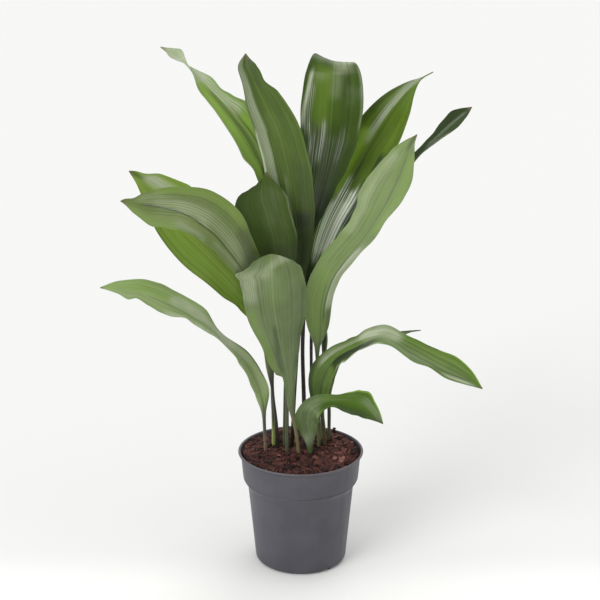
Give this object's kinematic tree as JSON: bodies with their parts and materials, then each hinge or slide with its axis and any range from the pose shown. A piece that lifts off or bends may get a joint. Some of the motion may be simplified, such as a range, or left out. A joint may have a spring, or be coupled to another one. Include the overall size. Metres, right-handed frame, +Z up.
{
  "type": "potted cast iron plant",
  "caption": "Cast iron plant with long arching lance-shaped leaves on slim stalks, in a tapered dark grey nursery pot with a deep collar, topped with bark soil.",
  "frame": {"origin": "the middle of the flat underside of the pot, where it rests", "axes": "+Z is up along the pot's axis, +X is to the right and +Y to the back as seen from the front"},
  "size_m": [0.5487, 0.3033, 0.7763],
  "materials": {
    "pot_plastic": "satin",
    "bark_soil": "matte",
    "rootstock": "matte",
    "leaf_deep": "satin",
    "leaf_pale": "satin"
  },
  "bodies": {
    "root": {"pot": "pot_plastic", "soil": "bark_soil", "rhizome": "rootstock", "leaf_back_left": "leaf_deep", "leaf_tall_left": "leaf_deep", "leaf_tall_centre": "leaf_deep", "leaf_tall_right": "leaf_deep", "leaf_right_front": "leaf_pale", "leaf_far_right": "leaf_deep", "leaf_left_front": "leaf_deep", "leaf_left_behind": "leaf_deep", "leaf_inner": "leaf_deep", "leaf_centre_front": "leaf_pale", "leaf_low_left": "leaf_pale", "leaf_low_right": "leaf_pale", "leaf_small_front": "leaf_pale", "leaf_low_hidden": "leaf_deep"}
  },
  "joints": []
}
